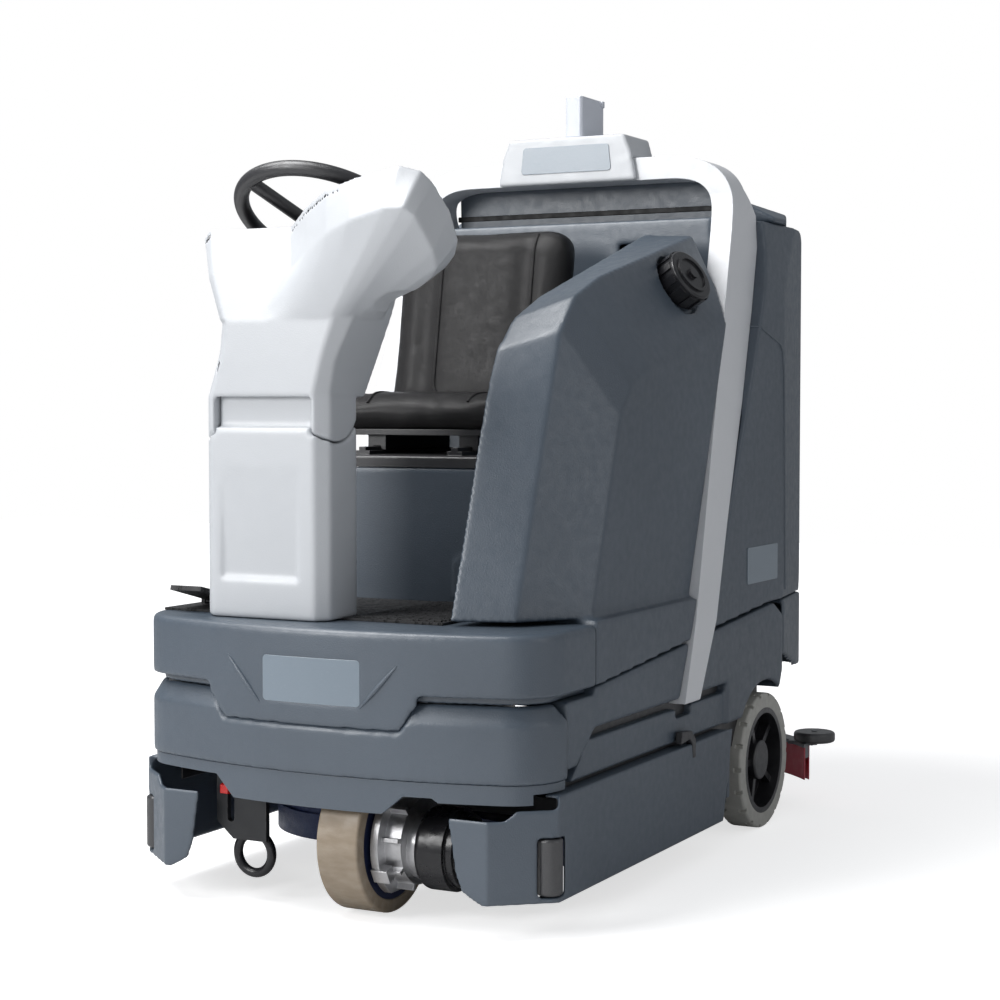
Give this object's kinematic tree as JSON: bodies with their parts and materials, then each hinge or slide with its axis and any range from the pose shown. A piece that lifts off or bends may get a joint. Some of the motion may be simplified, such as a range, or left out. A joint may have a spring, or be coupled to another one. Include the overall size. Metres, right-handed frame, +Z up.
{
  "type": "ride-on floor scrubber",
  "caption": "Ride-on floor scrubber with a tilting control column, side-mounted tank wing, swing-out deck skirts, disc brushes, a trailing squeegee and a safety hoop.",
  "frame": {"origin": "middle of the bounding box, on the floor", "axes": "+X to the driver's left, -Y forwards, +Z up"},
  "size_m": [1.01, 1.75, 1.633],
  "materials": {
    "body_plastic": "fine-grained moulded blue-grey plastic",
    "column_plastic": "fine-grained moulded light grey plastic",
    "hoop_paint": "light grey powder coat",
    "chassis_paint": "black powder coat",
    "label_film": "bare printed film",
    "mat_rubber": "ribbed black rubber",
    "battery_case": "black moulded cases",
    "screw_steel": "zinc plated",
    "port_plastic": "black moulded plastic",
    "gear_aluminium": "cast and machined",
    "motor_paint": "black gloss paint",
    "drive_tread": "tan polyurethane tread",
    "drive_core": "dark blue painted casting",
    "rear_tread": "non-marking grey rubber",
    "rim_plastic": "black moulded plastic",
    "deck_paint": "dark grey powder coat",
    "bristle": "nylon bristles on a moulded block",
    "skirt_plastic": "fine-grained moulded blue-grey plastic",
    "roller_plastic": "black moulded plastic",
    "squeegee_paint": "grey powder coat on a casting",
    "blade_rubber": "red rubber",
    "seat_vinyl": "black grained vinyl",
    "seat_plastic": "black moulded plastic",
    "seal_rubber": "black rubber",
    "cap_plastic": "black moulded plastic",
    "panel_plastic": "dark panel with a screen",
    "wheel_plastic": "black soft-grained plastic",
    "stop_red": "red moulded plastic",
    "start_green": "green moulded plastic",
    "key_steel": "polished",
    "loop_black": "black gloss paint"
  },
  "bodies": {
    "chassis": {"chassis_frame": "chassis_paint", "front_cover": "body_plastic", "front_bumper": "body_plastic", "front_apron": "body_plastic", "label_plates": "label_film", "floor_mat": "mat_rubber", "solution_tank": "body_plastic", "side_belt_left": "body_plastic", "side_belt_right": "body_plastic", "rear_panel": "body_plastic", "recovery_tank": "body_plastic", "hoop_left": "hoop_paint", "hoop_right": "hoop_paint", "hoop_top": "hoop_paint", "hoop_plate": "column_plastic", "beacon_post": "port_plastic", "column_base": "column_plastic", "tie_down_loop": "loop_black", "front_bracket": "chassis_paint", "battery_pack": "battery_case", "seat_base": "body_plastic", "tank_ports": "port_plastic", "cover_screws": "screw_steel"},
    "drive_unit": {"drive_yoke": "motor_paint", "drive_gearbox": "gear_aluminium", "drive_motor": "motor_paint"},
    "drive_wheel": {"drive_tyre": "drive_tread", "drive_rim": "drive_core"},
    "rear_wheel_left": {"rear_tyre_left": "rear_tread", "rear_rim_left": "rim_plastic"},
    "rear_wheel_right": {"rear_tyre_right": "rear_tread", "rear_rim_right": "rim_plastic"},
    "brush_deck": {"brush_deck": "deck_paint"},
    "brush_left": {"brush_left": "bristle"},
    "brush_right": {"brush_right": "bristle"},
    "skirt_left": {"skirt_left": "skirt_plastic"},
    "skirt_right": {"skirt_right": "skirt_plastic"},
    "corner_roller_left": {"corner_roller_left": "roller_plastic"},
    "corner_roller_right": {"corner_roller_right": "roller_plastic"},
    "squeegee_arm": {"squeegee_arm": "deck_paint"},
    "squeegee_carrier": {"squeegee_carrier": "deck_paint"},
    "squeegee_head": {"squeegee_frame": "squeegee_paint", "squeegee_blade": "blade_rubber"},
    "guide_roller_left": {"guide_roller_left": "roller_plastic"},
    "guide_roller_right": {"guide_roller_right": "roller_plastic"},
    "seat_deck": {"seat_deck": "seat_plastic"},
    "seat": {"seat_shell": "seat_plastic", "seat_cushion": "seat_vinyl", "seat_back": "seat_vinyl"},
    "tank_lid": {"tank_lid": "body_plastic"},
    "cap_seal": {"cap_seal": "seal_rubber"},
    "fill_cap": {"fill_cap": "cap_plastic"},
    "column_head": {"column_head": "column_plastic", "control_panel": "panel_plastic"},
    "steering_wheel": {"steering_wheel": "wheel_plastic"},
    "stop_button": {"stop_button": "stop_red"},
    "start_button": {"start_button": "start_green"},
    "key_switch": {"key_switch": "key_steel"},
    "accelerator_pedal": {"accelerator_pedal": "mat_rubber"}
  },
  "joints": [
    {"name": "drive_steer", "type": "hinge", "parent": "chassis", "child": "drive_unit", "pos_m": [0.05, -0.725, 0.335], "axis": [0, 0, 1], "range_deg": [-50, 50]},
    {"name": "drive_wheel_spin", "type": "hinge", "parent": "drive_unit", "child": "drive_wheel", "pos_m": [0.05, -0.725, 0.14], "axis": [1, 0, 0], "continuous": true},
    {"name": "rear_wheel_left_spin", "type": "hinge", "parent": "chassis", "child": "rear_wheel_left", "pos_m": [0.408, 0.305, 0.15], "axis": [1, 0, 0], "continuous": true},
    {"name": "rear_wheel_right_spin", "type": "hinge", "parent": "chassis", "child": "rear_wheel_right", "pos_m": [-0.408, 0.305, 0.15], "axis": [1, 0, 0], "continuous": true},
    {"name": "deck_lift", "type": "slide", "parent": "chassis", "child": "brush_deck", "axis": [0, 0, 1], "range_m": [-0.05, 0]},
    {"name": "brush_left_spin", "type": "hinge", "parent": "brush_deck", "child": "brush_left", "pos_m": [0.216, -0.27, 0.13], "axis": [0, 0, 1], "continuous": true},
    {"name": "brush_right_spin", "type": "hinge", "parent": "brush_deck", "child": "brush_right", "pos_m": [-0.216, -0.27, 0.13], "axis": [0, 0, 1], "continuous": true},
    {"name": "skirt_left_swing", "type": "hinge", "parent": "brush_deck", "child": "skirt_left", "pos_m": [0.429, 0.068, 0.15], "axis": [0, 0, 1], "range_deg": [0, 75]},
    {"name": "skirt_right_swing", "type": "hinge", "parent": "brush_deck", "child": "skirt_right", "pos_m": [-0.429, 0.068, 0.15], "axis": [0, 0, -1], "range_deg": [0, 75]},
    {"name": "corner_roller_left_spin", "type": "hinge", "parent": "skirt_left", "child": "corner_roller_left", "pos_m": [0.427, -0.757, 0.126], "axis": [0, 0, 1], "continuous": true},
    {"name": "corner_roller_right_spin", "type": "hinge", "parent": "skirt_right", "child": "corner_roller_right", "pos_m": [-0.427, -0.757, 0.126], "axis": [0, 0, 1], "continuous": true},
    {"name": "squeegee_lift", "type": "hinge", "parent": "chassis", "child": "squeegee_arm", "pos_m": [0, 0.444, 0.235], "axis": [-1, 0, 0], "range_deg": [0, 16]},
    {"name": "squeegee_level", "type": "hinge", "parent": "squeegee_arm", "child": "squeegee_carrier", "pos_m": [0, 0.659, 0.2], "axis": [-1, 0, 0], "range_deg": [-16, 0]},
    {"name": "squeegee_swing", "type": "hinge", "parent": "squeegee_carrier", "child": "squeegee_head", "pos_m": [0, 0.689, 0.18], "axis": [0, 0, 1], "range_deg": [-8, 8]},
    {"name": "guide_roller_left_spin", "type": "hinge", "parent": "squeegee_head", "child": "guide_roller_left", "pos_m": [0.457, 0.594, 0.162], "axis": [0, 0, 1], "continuous": true},
    {"name": "guide_roller_right_spin", "type": "hinge", "parent": "squeegee_head", "child": "guide_roller_right", "pos_m": [-0.457, 0.594, 0.162], "axis": [0, 0, 1], "continuous": true},
    {"name": "seat_deck_tilt", "type": "hinge", "parent": "chassis", "child": "seat_deck", "pos_m": [0, -0.391, 0.811], "axis": [1, 0, 0], "range_deg": [0, 50]},
    {"name": "seat_slide", "type": "slide", "parent": "seat_deck", "child": "seat", "axis": [0, 1, 0], "range_m": [-0.06, 0.02]},
    {"name": "tank_lid_tilt", "type": "hinge", "parent": "chassis", "child": "tank_lid", "pos_m": [0, 0.632, 1.366], "axis": [-1, 0, 0], "range_deg": [0, 70]},
    {"name": "cap_pull", "type": "slide", "parent": "chassis", "child": "cap_seal", "axis": [0.8495, -0.1699, 0.4995], "range_m": [0, 0.09]},
    {"name": "cap_turn", "type": "hinge", "parent": "cap_seal", "child": "fill_cap", "pos_m": [0.349, -0.028, 1.181], "axis": [0.8495, -0.1699, 0.4995], "continuous": true},
    {"name": "column_tilt", "type": "hinge", "parent": "chassis", "child": "column_head", "pos_m": [-0.155, -0.744, 0.95], "axis": [1, 0, 0], "range_deg": [-8, 8]},
    {"name": "steering_wheel_turn", "type": "hinge", "parent": "column_head", "child": "steering_wheel", "pos_m": [-0.145, -0.575, 1.3], "axis": [0, 0.5, 0.866], "range_deg": [-150, 150]},
    {"name": "stop_button_press", "type": "slide", "parent": "column_head", "child": "stop_button", "axis": [0, 0.7071, 0.7071], "range_m": [-0.004, 0]},
    {"name": "start_button_press", "type": "slide", "parent": "column_head", "child": "start_button", "axis": [0, 0.7071, 0.7071], "range_m": [-0.003, 0], "stiffness_N_per_m": 500, "springref_m": 0.002},
    {"name": "key_turn", "type": "hinge", "parent": "column_head", "child": "key_switch", "pos_m": [0.15, -0.67964, 1.22964], "axis": [0, 0.7071, 0.7071], "range_deg": [0, 90]},
    {"name": "pedal_press", "type": "hinge", "parent": "chassis", "child": "accelerator_pedal", "pos_m": [-0.358, -0.634, 0.557], "axis": [1, 0, 0], "range_deg": [0, 10], "stiffness_Nm_per_rad": 15, "springref_deg": -5.73}
  ],
  "couplings": [
    {"joint": "steering_wheel_turn", "follows": "drive_steer", "ratio": 3},
    {"joint": "squeegee_level", "follows": "squeegee_lift", "ratio": -1}
  ]
}
